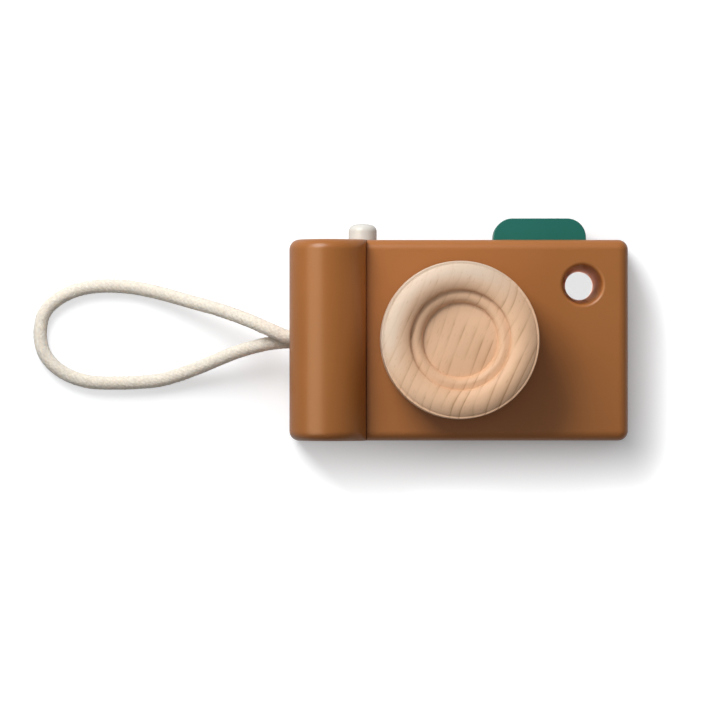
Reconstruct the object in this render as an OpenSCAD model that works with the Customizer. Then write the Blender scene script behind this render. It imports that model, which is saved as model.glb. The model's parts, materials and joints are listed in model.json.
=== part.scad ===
// Wooden toy camera. A painted block carries a half-round hand grip, a turned lens that
// spins, a sprung shutter button, a flash block, a finder hole and a looped wrist cord.
// It lies on its back: +Z is the lens axis, +Y the toy's top, and the back rests on Z = 0.

/* [Body block] */
// Width of the block, from the grip's side to the finder's side
body_w = 118; // [100:1:140]
// Height of the block, from its base to its top
body_h = 70; // [62:1:85]
// Depth of the block, from its back to its front face
body_d = 30; // [27:0.5:40]
// Rounding of the block's edges and of the grip's ends
edge_r = 3.5; // [2:0.25:5]

/* [Hand grip] */
// Width of the half-round grip, which stands proud by half of it
grip_w = 26.8; // [22:0.2:32]
// Diameter of the two dowels that hold the grip
grip_dowel_d = 6; // [4:0.5:8]
// Distance between the grip's dowels
grip_dowel_pitch = 40; // [24:1:48]
// How deep each dowel sits in the block, and in the grip
grip_dowel_in = 8; // [5:0.5:10]

/* [Lens] */
// Diameter of the lens at its back
lens_d = 55; // [46:0.5:64]
// Height of the lens, from its back to the crest of its ring
lens_h = 25; // [21:0.5:34]
// How far the side of the lens leans in by its upper edge
lens_taper = 0.4; // [0:0.1:2]
// Rounding between the side of the lens and its ring
lens_edge_r = 2.2; // [1:0.1:3]
// Radius of the ring's outer rounding
lens_round_r = 8.5; // [6:0.1:10]
// How far the outer rounding turns from the crest, in degrees
lens_round_turn = 33; // [20:1:40]
// Radius of the ring's inner slope
lens_dish_r = 6.6; // [5:0.1:8]
// How far the inner slope turns from the crest before it falls steeply, in degrees
lens_dish_turn = 32; // [20:1:40]
// Radius of the slope's steep end
lens_fall_r = 1.6; // [1:0.1:2.5]
// Height of the small step at the foot of the slope
lens_step_h = 0.8; // [0.4:0.1:1.2]
// Width of the flat band inside the ring
lens_band_w = 1.6; // [0.8:0.1:3]
// Radius of the bead that drops from the band to the flat middle
lens_bead_r = 2.8; // [1.5:0.1:4]

/* [Lens axle] */
// Diameter of the axle that the lens turns on
axle_d = 12; // [8:0.5:14]
// How deep the axle sits in the lens
axle_in_lens = 12; // [8:0.5:14]
// Diameter of the well in the back that holds the axle's fastening
well_d = 26; // [22:0.5:32]
// Depth of that well
well_depth = 9; // [8:0.25:12]
// Thickness of the plug that closes the well
plug_t = 3.2; // [2:0.1:3.5]
// Diameter of the steel washer on the axle's end
axle_washer_d = 20; // [16:0.5:21]
// Thickness of the steel washer
axle_washer_t = 1.5; // [0.8:0.1:1.6]
// Diameter of the screw's shank
screw_d = 4; // [3:0.25:5]
// Length of the screw under its head
screw_l = 18; // [12:0.5:22]
// Diameter of the screw's head
screw_head_d = 8; // [6:0.5:10]
// Height of the screw's head
screw_head_h = 2.4; // [1.6:0.1:2.6]
// Diameter of the felt washer under the lens
felt_d = 40; // [30:0.5:44]
// Thickness of the felt washer
felt_t = 0.8; // [0.5:0.1:1.5]

/* [Shutter button] */
// Diameter of the button
button_d = 9.9; // [8:0.1:12]
// How far the button stands out of the block's top
button_rise = 5.9; // [5:0.1:8]
// How deep the button reaches into the block at rest
button_stem = 14; // [12.5:0.5:17]
// How far the button travels when it is pressed
button_travel = 3.5; // [2:0.1:4]
// Rounding of the button's rim
button_rim_r = 2.4; // [1:0.1:3]
// Radius of the button's crowned top
button_crown_r = 13; // [10:0.5:30]
// Distance of the button's axis from the block's end on the grip's side
button_inset = 25.5; // [21:0.5:31]
// Diameter of the pin that keeps the button in
pin_d = 3; // [2:0.1:3.5]
// Depth of the pin below the block's top
pin_depth = 8; // [7.5:0.25:9]

/* [Button spring] */
// Length of the spring between the bore's bottom and the button
spring_l = 12; // [9:0.5:15]
// Outside diameter of the spring
spring_d = 8; // [6:0.25:9]
// Thickness of the spring's wire
wire_d = 0.8; // [0.5:0.05:1]
// Number of turns of the spring
spring_turns = 6; // [4:0.5:7]

/* [Flash block] */
// Width of the flash block
flash_w = 32.3; // [26:0.1:38]
// How far the flash block stands above the block's top
flash_rise = 7.6; // [6.8:0.1:12]
// Depth of the flash block
flash_d = 16; // [12:0.5:20]
// Radius of the flash block's upper corners
flash_corner_r = 6.6; // [2:0.1:6.7]
// Distance of the flash block's middle from the block's end on the finder's side
flash_inset = 30.6; // [25:0.1:37]
// Diameter of the two dowels that hold the flash block
flash_dowel_d = 6; // [4:0.5:7]
// Distance between the flash block's dowels
flash_dowel_pitch = 16; // [10:0.5:18]
// How deep each dowel sits in the flash block
flash_dowel_up = 5; // [3:0.25:5.5]
// How deep each dowel sits in the body block
flash_dowel_down = 7; // [5:0.5:8]

/* [Finder hole] */
// Diameter of the finder hole at the back
finder_d = 10; // [8:0.1:11]
// Length of the straight part of the hole, from the back
finder_straight = 6; // [4:0.5:10]
// Diameter of the hole at the front, inside its rounded lip
finder_front_d = 13.6; // [11.5:0.1:16]
// Radius of the lip's rounding
finder_lip_r = 1.2; // [0.8:0.1:2]
// Distance of the finder's middle from the nearer end of the block
finder_inset = 16; // [13:0.5:19]
// Distance of the finder's middle below the block's top
finder_drop = 15.7; // [14:0.1:19]

/* [Wrist cord] */
// Thickness of the cord
cord_d = 5; // [3:0.1:5]
// Diameter of the hole that takes both ends of the cord
cord_hole_d = 10.4; // [10.1:0.1:12]
// Depth of that hole
cord_hole_depth = 18; // [14:0.5:22]
// Height of the hole above the block's middle
cord_hole_y = 0.35; // [0:0.05:1]
// Diameter of the pegs that wedge the cord's ends
peg_d = 3.2; // [2:0.1:3.3]
// Length of the pegs
peg_l = 13; // [8:0.5:16]

/* [Fits] */
// Clearance all round a piece that turns or slides in a hole
run_gap = 0.05; // [0.02:0.01:0.08]
// Clearance all round a piece that is glued in
glue_gap = 0.05; // [0.02:0.01:0.15]
// End play between the lens and what it turns against
end_play = 0.25; // [0.15:0.05:0.5]

/* [Hidden] */

$fn = 96;
// Facets of the balls and rings that a hull rounds with
round_fn = 32;
grip_fn = 64;
// How far a cut runs past the face that it opens
overrun = 1;

body_top = body_h / 2;
body_left = -body_w / 2;
body_right = body_w / 2;
mid_z = body_d / 2;

// The grip sits in a rebate just as deep as the block's rounded edge
grip_r = grip_w / 2;
grip_x = body_left + grip_r;
seat_z = body_d - edge_r;
seam_x = body_left + grip_w;

// The lens floats on the felt washer by its end play
lens_z = body_d + felt_t + end_play;
lens_edge_x = lens_d / 2 - lens_taper - lens_edge_r;
lens_lip_x = lens_edge_x + lens_edge_r * sin(lens_round_turn);
lens_lip_h = lens_h - lens_round_r * (1 - cos(lens_round_turn));
lens_edge_h = lens_lip_h - lens_edge_r * cos(lens_round_turn);
lens_crest_x = lens_lip_x - lens_round_r * sin(lens_round_turn);
lens_dish_x = lens_crest_x - lens_dish_r * sin(lens_dish_turn);
lens_dish_h = lens_h - lens_dish_r * (1 - cos(lens_dish_turn));
lens_fall_x = lens_dish_x + lens_fall_r * sin(lens_dish_turn);
lens_fall_h = lens_dish_h - lens_fall_r * cos(lens_dish_turn);
lens_step_x = lens_fall_x - lens_fall_r;
lens_band_h = lens_fall_h - lens_step_h;
lens_bead_x = lens_step_x - lens_band_w;
lens_floor_h = lens_band_h - lens_bead_r;

// The axle ends just short of the well's floor, so its washer runs free
axle_end_z = well_depth - end_play;
axle_top_z = lens_z + axle_in_lens;
washer_z = axle_end_z - axle_washer_t;

button_x = body_left + button_inset;
button_bore_d = button_d + 2 * run_gap;
button_bore_depth = button_stem + spring_l;
button_l = button_rise + button_stem;
pin_y = body_top - pin_depth;
// The pin's blind hole stops this far behind the front face
pin_wall = 5;

flash_x = body_right - flash_inset;
finder_x = body_right - finder_inset;
finder_y = body_top - finder_drop;

// Where the two strands of the cord lie in their hole, to either side of its middle
strand = [0, 0.85, 2.355];
cord_mouth = [body_left, cord_hole_y, mid_z];

// The cord's free loop, seen from the mouth of its hole: down to the table, round, and back
cord_loop = [
    [-4, 2.1, 17.15], [-9, 4.25, 16.2], [-15, 6.85, 14.2], [-25, 10.45, 10.5], [-35, 13.25, 7],
    [-46, 16.35, 4.2], [-55, 18.25, 2.8], [-63, 18.95, 2.5], [-71, 18.55, 2.5], [-78, 16.65, 2.5],
    [-83.8, 13.25, 2.5], [-87.2, 9.25, 2.5], [-88.5, 4.65, 2.5], [-88.5, -0.35, 2.5],
    [-87, -5.25, 2.5], [-83.3, -9.65, 2.5], [-77.8, -13.05, 2.5], [-70.6, -15.05, 2.5],
    [-62, -15.4, 2.5], [-53, -15.1, 2.5], [-46, -14.3, 2.7], [-39, -12.35, 3.7], [-32, -9.75, 5.4],
    [-25, -6.85, 7.4], [-18, -4.15, 9.4], [-11, -2.2, 11.1], [-5, -1.1, 12.3]
];
cord_sides = 10;
wire_sides = 6;
wire_steps = 12;

// A point of a strand in the hole, on one side of its middle, so many halves of the hole deep
function in_hole(side, halves) = cord_mouth + side * strand + [halves * cord_hole_depth / 2, 0, 0];

// The cord's middle line, from the bottom of the hole round the loop and back to it
cord_route = concat(
    [for (i = [2, 1, 0]) in_hole(1, i)],
    [for (p = cord_loop) [body_left + p[0], cord_hole_y + p[1], p[2]]],
    [for (i = [0, 1, 2]) in_hole(-1, i)]
);

function unit(v) = v / norm(v);
function heading(path, i) = unit(path[min(i + 1, len(path) - 1)] - path[max(i - 1, 0)]);

// One ring of points round a path's point, square to its heading
function ring(p, t, up, r, sides) =
    let (across = unit(cross(up, t)), over = cross(t, across))
    [for (k = [0 : sides - 1]) p + r * (cos(360 * k / sides) * across + sin(360 * k / sides) * over)];

function tube_points(path, up, r, sides) =
    [for (i = [0 : len(path) - 1]) each ring(path[i], heading(path, i), up, r, sides)];

// The two triangles between neighbouring points of rings i and i + 1
function tube_quad(i, k, sides) =
    let (a = i * sides + k, b = i * sides + (k + 1) % sides)
    [[a, a + sides, b + sides], [a, b + sides, b]];

function tube_faces(rings, sides) = concat(
    [[for (k = [0 : sides - 1]) k]],
    [for (i = [0 : rings - 2], k = [0 : sides - 1]) each tube_quad(i, k, sides)],
    [[for (k = [sides - 1 : -1 : 0]) (rings - 1) * sides + k]]
);

// A round tube swept along a path
module tube(path, up, d, sides) {
    polyhedron(tube_points(path, up, d / 2, sides), tube_faces(len(path), sides));
}

// A ball whose points lie on its poles and its equator, so that a hull of balls is true to size
module ball(r) {
    rotate_extrude($fn = round_fn)
        intersection() {
            circle(r, $fn = round_fn);
            translate([0, -r])
                square([r, 2 * r]);
        }
}

// A hole or dowel along +Y, with its lower end at the origin
module along_y(d, l) {
    rotate([-90, 0, 0])
        cylinder(d = d, h = l);
}

// A hole or peg along +X, with its left end at the origin
module along_x(d, l) {
    rotate([0, 90, 0])
        cylinder(d = d, h = l);
}

module at_grip_dowels() {
    for (s = [-1, 1])
        translate([grip_x, s * grip_dowel_pitch / 2, seat_z])
            children();
}

module at_flash_dowels() {
    for (s = [-1, 1])
        translate([flash_x + s * flash_dowel_pitch / 2, body_top, mid_z])
            children();
}

// The block with all its edges and corners rounded
module rounded_block() {
    hull()
        for (x = [-1, 1], y = [-1, 1], z = [0, 1])
            translate([
                x * (body_w / 2 - edge_r),
                y * (body_h / 2 - edge_r),
                z == 0 ? edge_r : body_d - edge_r
            ])
                ball(edge_r);
}

// The plan of the grip's rebate: open to the sides, and round where the grip's corners are
module rebate_plan() {
    inner_x = seam_x + glue_gap;
    corner_y = body_h / 2 - edge_r;
    translate([body_left - overrun, -body_h / 2 - overrun])
        square([inner_x - edge_r - body_left + overrun, body_h + 2 * overrun]);
    translate([body_left - overrun, -corner_y])
        square([inner_x - body_left + overrun, 2 * corner_y]);
    for (s = [-1, 1])
        translate([inner_x - edge_r, s * corner_y])
            circle(edge_r);
}

// The finder's hole as it is cut: straight at the back, then flared to a rounded lip
module finder_cut() {
    lip_h = finder_lip_r * cos(30);
    front_r = finder_front_d / 2;
    lip_x = front_r + finder_lip_r;
    rotate_extrude()
        difference() {
            polygon([
                [0, -overrun],
                [finder_d / 2, -overrun],
                [finder_d / 2, finder_straight],
                [front_r, body_d - lip_h],
                [lip_x, body_d - lip_h],
                [lip_x, body_d + overrun],
                [0, body_d + overrun]
            ]);
            translate([lip_x, body_d - lip_h])
                circle(finder_lip_r);
        }
}

module body_block() {
    color("#ab6d38")
        difference() {
            rounded_block();
            translate([0, 0, seat_z])
                linear_extrude(edge_r + overrun)
                    rebate_plan();
            cylinder(d = axle_d + 2 * run_gap, h = body_d + overrun);
            translate([0, 0, -overrun])
                cylinder(d = well_d, h = well_depth + overrun);
            translate([finder_x, finder_y, 0])
                finder_cut();
            translate([button_x, body_top - button_bore_depth, mid_z])
                along_y(button_bore_d, button_bore_depth + overrun);
            translate([button_x, pin_y, -overrun])
                cylinder(d = pin_d + 2 * glue_gap, h = body_d - pin_wall + overrun);
            translate([body_left - overrun, cord_hole_y, mid_z])
                along_x(cord_hole_d, cord_hole_depth + overrun);
            at_grip_dowels()
                translate([0, 0, -grip_dowel_in])
                    cylinder(d = grip_dowel_d + 2 * glue_gap, h = grip_dowel_in + overrun);
            at_flash_dowels()
                translate([0, -flash_dowel_down, 0])
                    along_y(flash_dowel_d + 2 * glue_gap, flash_dowel_down + overrun);
        }
}

// One half of a ring at an end of the grip, which rounds that end
module grip_end_ring() {
    rotate([90, 0, 0])
        rotate_extrude(angle = 180, $fn = grip_fn)
            translate([grip_r - edge_r, 0])
                circle(edge_r, $fn = round_fn);
}

module hand_grip() {
    color("#ab6d38")
        difference() {
            hull()
                for (s = [-1, 1])
                    translate([grip_x, s * (body_h / 2 - edge_r), 0]) {
                        translate([0, 0, body_d])
                            grip_end_ring();
                        for (x = [-1, 1])
                            translate([x * (grip_r - edge_r), 0, seat_z])
                                cylinder(r = edge_r, h = edge_r, $fn = round_fn);
                    }
            at_grip_dowels()
                translate([0, 0, -overrun])
                    cylinder(d = grip_dowel_d + 2 * glue_gap, h = grip_dowel_in + overrun);
        }
}

module grip_dowels() {
    color("#d9b68c")
        at_grip_dowels()
            translate([0, 0, -grip_dowel_in])
                cylinder(d = grip_dowel_d, h = 2 * grip_dowel_in);
}

module flash_outline() {
    round_y = flash_rise - flash_corner_r;
    translate([-flash_w / 2, 0])
        square([flash_w, round_y]);
    translate([flash_corner_r - flash_w / 2, 0])
        square([flash_w - 2 * flash_corner_r, flash_rise]);
    for (s = [-1, 1])
        translate([s * (flash_w / 2 - flash_corner_r), round_y])
            circle(flash_corner_r);
}

module flash_block() {
    color("#2b6a5e")
        difference() {
            translate([flash_x, body_top, mid_z - flash_d / 2])
                linear_extrude(flash_d)
                    intersection() {
                        flash_outline();
                        translate([-flash_w / 2, 0])
                            square([flash_w, flash_rise]);
                    }
            at_flash_dowels()
                translate([0, -overrun, 0])
                    along_y(flash_dowel_d + 2 * glue_gap, flash_dowel_up + overrun);
        }
}

module flash_dowels() {
    color("#d9b68c")
        at_flash_dowels()
            translate([0, -flash_dowel_down, 0])
                along_y(flash_dowel_d, flash_dowel_down + flash_dowel_up);
}

module rear_plug() {
    color("#ab6d38")
        cylinder(d = well_d - 2 * glue_gap, h = plug_t);
}

module felt_washer() {
    color("#8f8578")
        translate([0, 0, body_d])
            difference() {
                cylinder(d = felt_d, h = felt_t);
                translate([0, 0, -overrun])
                    cylinder(d = axle_d + 2 * end_play, h = felt_t + 2 * overrun);
            }
}

// A part of a circle's face, cut out between two corners
module arc_face(middle, r, low, high) {
    intersection() {
        translate(middle)
            circle(r);
        translate(low)
            square(high - low);
    }
}

// Half section of the turned lens: side, edge, round ring, slope, step, band, bead and flat
module lens_section() {
    polygon([
        [0, 0],
        [lens_d / 2, 0],
        [lens_d / 2 - lens_taper, lens_edge_h],
        [lens_lip_x, lens_edge_h],
        [lens_lip_x, lens_lip_h],
        [lens_crest_x, lens_lip_h],
        [lens_crest_x, lens_dish_h],
        [lens_dish_x, lens_dish_h],
        [lens_dish_x, lens_fall_h],
        [lens_step_x, lens_fall_h],
        [lens_step_x, lens_band_h],
        [lens_bead_x, lens_band_h],
        [lens_bead_x, lens_floor_h],
        [0, lens_floor_h]
    ]);
    arc_face([lens_edge_x, lens_edge_h], lens_edge_r,
        [lens_lip_x, lens_edge_h], [lens_edge_x + lens_edge_r, lens_lip_h]);
    arc_face([lens_crest_x, lens_h - lens_round_r], lens_round_r,
        [lens_crest_x, lens_lip_h], [lens_lip_x, lens_h]);
    arc_face([lens_crest_x, lens_h - lens_dish_r], lens_dish_r,
        [lens_dish_x, lens_dish_h], [lens_crest_x, lens_h]);
    arc_face([lens_fall_x, lens_fall_h], lens_fall_r,
        [lens_step_x, lens_fall_h], [lens_dish_x, lens_dish_h]);
    arc_face([lens_bead_x, lens_floor_h], lens_bead_r,
        [lens_bead_x - lens_bead_r, lens_floor_h], [lens_bead_x, lens_band_h]);
}

module lens() {
    color("#e2bf9a")
        translate([0, 0, lens_z])
            difference() {
                rotate_extrude()
                    lens_section();
                translate([0, 0, -overrun])
                    cylinder(d = axle_d + 2 * glue_gap, h = axle_in_lens + overrun);
            }
}

module lens_axle() {
    color("#d9b68c")
        difference() {
            translate([0, 0, axle_end_z])
                cylinder(d = axle_d, h = axle_top_z - axle_end_z);
            translate([0, 0, axle_end_z - overrun])
                cylinder(d = screw_d + 2 * glue_gap, h = screw_l + overrun);
        }
}

module axle_washer() {
    color("#b8babd")
        translate([0, 0, washer_z])
            difference() {
                cylinder(d = axle_washer_d, h = axle_washer_t);
                translate([0, 0, -overrun])
                    cylinder(d = screw_d + 2 * glue_gap, h = axle_washer_t + 2 * overrun);
            }
}

// Pan-head screw that draws the washer against the axle's end
module axle_screw() {
    color("#b8babd") {
        translate([0, 0, washer_z - screw_head_h])
            cylinder(d = screw_head_d, h = screw_head_h);
        translate([0, 0, washer_z - screw_head_h / 2])
            cylinder(d = screw_d, h = screw_l + screw_head_h / 2);
    }
}

// Half section of the button: a stem with a rounded rim that runs into a crowned top
module button_section() {
    rim_x = button_d / 2 - button_rim_r;
    crown_y = button_l - button_crown_r;
    // The rim's circle touches the crown's from inside
    apart = button_crown_r - button_rim_r;
    rim_y = crown_y + sqrt(apart * apart - rim_x * rim_x);
    meet_x = rim_x * button_crown_r / apart;
    square([button_d / 2, rim_y]);
    arc_face([rim_x, rim_y], button_rim_r, [0, 0], [button_d / 2, button_l]);
    arc_face([0, crown_y], button_crown_r, [0, 0], [meet_x, button_l]);
}

// The slot that the keeper pin stands in: the pin's width, longer by the button's travel
module pin_slot() {
    slot_r = pin_d / 2 + run_gap;
    linear_extrude(button_d + 2 * overrun, center = true) {
        circle(slot_r);
        translate([-slot_r, 0])
            square([2 * slot_r, button_travel]);
        translate([0, button_travel])
            circle(slot_r);
    }
}

module shutter_button() {
    color("#e9e2d6")
        difference() {
            translate([button_x, body_top - button_stem, mid_z])
                rotate([-90, 0, 0])
                    rotate_extrude()
                        button_section();
            translate([button_x, pin_y, mid_z])
                pin_slot();
        }
}

module button_spring() {
    mean_r = (spring_d - wire_d) / 2;
    low_y = body_top - button_bore_depth + wire_d / 2 + run_gap;
    high_y = body_top - button_stem - wire_d / 2 - run_gap;
    steps = spring_turns * wire_steps;
    path = [
        for (i = [0 : steps])
            [
                button_x + mean_r * cos(360 * i / wire_steps),
                low_y + (high_y - low_y) * i / steps,
                mid_z + mean_r * sin(360 * i / wire_steps)
            ]
    ];
    color("#b8babd")
        tube(path, [0, 1, 0], wire_d, wire_sides);
}

module button_pin() {
    color("#d9b68c")
        translate([button_x, pin_y, 0])
            cylinder(d = pin_d, h = body_d - pin_wall);
}

module wrist_cord() {
    color("#e6dccb")
        tube(cord_route, [0, 0, 1], cord_d, cord_sides);
}

// Two pegs in the hollows beside the strands, square to the line between these
module cord_pegs() {
    off = (cord_hole_d - peg_d) / 2 - glue_gap;
    color("#d9b68c")
        for (s = [-1, 1])
            translate([
                body_left + cord_hole_depth - peg_l,
                cord_hole_y - s * off * unit(strand)[2],
                mid_z + s * off * unit(strand)[1]
            ])
                along_x(peg_d, peg_l);
}

body_block();
hand_grip();
grip_dowels();
flash_block();
flash_dowels();
rear_plug();
felt_washer();
lens();
lens_axle();
axle_washer();
axle_screw();
shutter_button();
button_spring();
button_pin();
wrist_cord();
cord_pegs();
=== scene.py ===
"""Looks of a wooden toy camera that lies on its back on a pale table.

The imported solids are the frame. The pieces that show are modelled again here with smooth edges,
and every piece gets the finish of its real material. Lengths are in metres unless a name says mm.
"""

import json
import math

import bmesh
import bpy
from bpy.props import FloatProperty, FloatVectorProperty, IntProperty, PointerProperty
from bpy.types import Operator, Panel, PropertyGroup
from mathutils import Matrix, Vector


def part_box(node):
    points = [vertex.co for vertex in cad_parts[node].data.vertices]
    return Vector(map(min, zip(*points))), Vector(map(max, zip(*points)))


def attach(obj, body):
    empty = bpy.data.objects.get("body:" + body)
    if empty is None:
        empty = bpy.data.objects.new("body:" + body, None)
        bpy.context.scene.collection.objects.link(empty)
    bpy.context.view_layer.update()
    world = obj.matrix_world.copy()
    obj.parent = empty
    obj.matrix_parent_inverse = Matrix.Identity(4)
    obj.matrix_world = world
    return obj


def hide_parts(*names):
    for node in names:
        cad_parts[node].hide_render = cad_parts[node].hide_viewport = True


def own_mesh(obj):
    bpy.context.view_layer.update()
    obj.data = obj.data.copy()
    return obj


bl_info = {
    "name": "Wooden Toy Camera",
    "version": (1, 0, 0),
    "blender": (4, 5, 0),
    "location": "3D View > Sidebar > Toy Camera",
    "description": "Models and finishes a wooden toy camera round its solids",
    "category": "Add Mesh",
}

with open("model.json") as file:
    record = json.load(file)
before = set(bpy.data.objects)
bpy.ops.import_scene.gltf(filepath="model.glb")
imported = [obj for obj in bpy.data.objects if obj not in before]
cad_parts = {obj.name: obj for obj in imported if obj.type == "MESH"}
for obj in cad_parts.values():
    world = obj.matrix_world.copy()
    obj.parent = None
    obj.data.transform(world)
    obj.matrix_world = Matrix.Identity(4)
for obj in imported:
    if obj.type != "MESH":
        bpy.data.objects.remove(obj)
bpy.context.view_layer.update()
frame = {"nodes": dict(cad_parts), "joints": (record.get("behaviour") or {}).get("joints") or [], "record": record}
MM = 0.001
BODY = "camera_body"
LENS_BODY = "lens_assembly"
BUTTON_BODY = "button"

# Boxes of the solids that the new pieces stand for
BLOCK_LOW, BLOCK_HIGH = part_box("body_block")
GRIP_LOW, GRIP_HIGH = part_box("hand_grip")
LENS_LOW, LENS_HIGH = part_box("lens")
BUTTON_LOW, BUTTON_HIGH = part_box("shutter_button")
FLASH_LOW, FLASH_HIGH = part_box("flash_block")
PLUG_LOW, PLUG_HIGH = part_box("rear_plug")
PIN_LOW, PIN_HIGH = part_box("button_pin")
AXLE_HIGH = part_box("lens_axle")[1]
SPRING_LOW, SPRING_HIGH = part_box("button_spring")
FINDER = next(m for m in frame["record"]["mounts"] if m["name"] == "finder_bore")
BUTTON_TRAVEL = next(j for j in frame["joints"] if j["name"] == "button_press")["range_m"][1]

# How far a cutting tool runs past the face that it opens, and the steps of a large rounded edge
OVERRUN = 1 * MM
EDGE_STEPS = 10

# The photograph looks straight down from this point, through a long lens
VIEW_POINT_MM = (-34.43, -6.9, 1600)
VIEW_LENS_MM = 225.6
SENSOR_MM = 36

# Each lamp's place, the point that it faces, its width and length, and its power
WINDOW = ((-0.26, 0.42, 0.42), (0.3, 0.0, 0.0), (0.36, 0.36), 4.45)
SCREEN = ((-0.44, -0.02, 0.5), (-0.045, 0.0, 0.03), (0.9, 0.5), 4.6)
SCREEN_TINT = (1.0, 0.92, 0.7)

# The room's level, away from the window and towards it
TO_WINDOW = (-0.25, 0.97, 0)
ROOM_DARK, ROOM_LIGHT = 0.16, 0.52

# The table, as it is seen and as it lights the toy
TABLE_Z = -0.05 * MM
TABLE_WHITE = (0.96, 0.98, 1.0)
TABLE_GREY = (0.4, 0.4, 0.4, 1)
# The way along the table out of the window's light, and the stretch over which that light fades
FROM_WINDOW = (0.6, -0.8, 0)
FADE_START, FADE_END = -0.06, 0.03
LIT_TONE = 0.58
# The table's own light: on the window's side, in the toy's shadow, and past the shadow
LIT_LIFT, SHADE_LIFT, FAR_LIFT = 0.6, 0.1, 0.78
SHADE_REACH = 20 * MM
# The share of it that shows in a glossy finish
MIRRORED = 0.3
# The card below the finder, its level as it is seen, and the light that it gives the finder's wall
CARD_PLACE = (FINDER["pos_m"][0], FINDER["pos_m"][1], TABLE_Z)
CARD_RADIUS = 6 * MM
CARD_LIFT = 0.776
CARD_LIGHT = 20.0

# The cord's middle line in millimetres: out of its hole, down to the table, round, and back
CORD_ROUTE_MM = [
    (-41, 1.2, 17.355), (-50, 1.2, 17.355), (-59, 1.2, 17.355), (-63, 2.45, 17.15),
    (-68, 4.6, 16.2), (-74, 7.2, 14.2), (-84, 10.8, 10.5), (-94, 13.6, 7), (-105, 16.7, 4.2),
    (-114, 18.6, 2.8), (-122, 19.3, 2.5), (-130, 18.9, 2.5), (-137, 17, 2.5), (-142.8, 13.6, 2.5),
    (-146.2, 9.6, 2.5), (-147.5, 5, 2.5), (-147.5, 0, 2.5), (-146, -4.9, 2.5), (-142.3, -9.3, 2.5),
    (-136.8, -12.7, 2.5), (-129.6, -14.7, 2.5), (-121, -15.05, 2.5), (-112, -14.75, 2.5),
    (-105, -13.95, 2.7), (-98, -12, 3.7), (-91, -9.4, 5.4), (-84, -6.5, 7.4), (-77, -3.8, 9.4),
    (-70, -1.85, 11.1), (-64, -0.75, 12.3), (-59, -0.5, 12.645), (-50, -0.5, 12.645),
    (-41, -0.5, 12.645),
]


def linear(hex_colour):
    """Linear red, green and blue of an sRGB hex value."""
    channels = [int(hex_colour[i:i + 2], 16) / 255 for i in (1, 3, 5)]
    return tuple(c / 12.92 if c <= 0.04045 else ((c + 0.055) / 1.055) ** 2.4 for c in channels)


def size(name, description, default_mm):
    """A length that a user may change, shown in the scene's units."""
    return FloatProperty(
        name=name, description=description, default=default_mm * MM, min=0, subtype="DISTANCE", unit="LENGTH"
    )


def colour(name, description, hex_colour):
    """A colour that a user may change."""
    return FloatVectorProperty(
        name=name, description=description, default=linear(hex_colour), size=3, min=0, max=1, subtype="COLOR"
    )


class ToyCameraSizes(PropertyGroup):
    """Sizes of the rounded and turned pieces."""

    edge_round: size("Edge rounding", "Rounding of the block's and the grip's edges", 3.5)
    rim_ease: size("Rim easing", "Rounding of the rims of drilled holes", 0.5)
    grip_corner: size("Grip corner", "Rounding of the grip's ends beside the block's front", 0.5)
    glue_line: size("Glue line", "Width of the fine line between the grip and the block", 0.2)
    well_radius: size("Well radius", "Radius of the well behind the lens axle", 13)
    well_depth: size("Well depth", "Depth of the well behind the lens axle", 9)
    run_gap: size("Running gap", "Clearance round a piece that moves in a hole", 0.05)
    finder_front: size("Finder front radius", "Radius of the finder hole inside its front lip", 6.8)
    finder_lip: size("Finder lip", "Rounding of the finder's front lip", 1.2)
    lens_taper: size("Lens taper", "How far the lens's side leans in by its upper edge", 0.4)
    lens_edge: size("Lens edge", "Rounding between the lens's side and its ring", 2.2)
    lens_round: size("Lens ring rounding", "Radius of the ring's outer rounding", 8.5)
    lens_dish: size("Lens ring slope", "Radius of the ring's inner slope", 6.6)
    lens_fall: size("Lens ring fall", "Radius of the steep end of the ring's inner slope", 1.6)
    lens_step: size("Lens step", "Height of the small step at the foot of the ring's slope", 0.8)
    lens_band: size("Lens band", "Width of the flat band inside the ring", 1.6)
    lens_bead: size("Lens bead", "Radius of the bead round the flat middle", 2.8)
    lens_ledge: size("Lens ledge", "Drop from the ring to the narrow ledge at the lens's edge", 0.3)
    button_rim: size("Button rim", "Rounding of the button's rim", 2.4)
    button_crown: size("Button crown", "Radius of the button's crowned top", 13)
    flash_corner: size("Flash corner", "Radius of the flash block's upper corners", 6.6)
    flash_ease: size("Flash edge", "Easing of the flash block's crisp edges", 0.3)
    cord_hole: size("Cord hole", "Radius of the hole that takes both ends of the cord", 5.2)
    cord_thickness: size("Cord thickness", "Diameter of the wrist cord", 5)
    cord_strands: IntProperty(
        name="Cord strands", description="Strands of the braid each way round", default=10, min=4, max=16
    )
    spring_wire: size("Spring wire", "Thickness of the return spring's wire", 0.8)
    spring_turns: IntProperty(
        name="Spring turns", description="Turns of the return spring", default=6, min=4, max=7
    )


class ToyCameraColours(PropertyGroup):
    """Colours of the finishes."""

    caramel: colour("Caramel", "Lacquer of the block and the grip", "#9F622E")
    green: colour("Green", "Lacquer of the flash block", "#22675C")
    cream: colour("Cream", "Lacquer of the shutter button", "#CFCDC6")
    beech: colour("Beech", "Pale early wood of the turned lens", "#E3BA97")
    # Whiter colour of the painted sheen on the lens's side towards the window
    painted_sheen_tint: colour("Painted_sheen", "Palest side of the turned lens", "#CDB8A4")
    beech_line: colour("Beech line", "Dark late wood of the turned lens", "#A67850")
    cotton: colour("Cotton", "Natural cotton of the cord", "#E6DED1")
    felt: colour("Felt", "Felt washer under the lens", "#8F8578")
    steel: colour("Steel", "Plated steel of the screw, washer and spring", "#B8BABD")


def sizes():
    """The sizes set in the scene."""
    return bpy.context.scene.toy_camera_sizes


def colours():
    """The colours set in the scene."""
    return bpy.context.scene.toy_camera_colours


def deselect_all():
    """Leaves nothing selected, so that an operator acts on the next piece alone."""
    bpy.ops.object.select_all(action="DESELECT")


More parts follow.
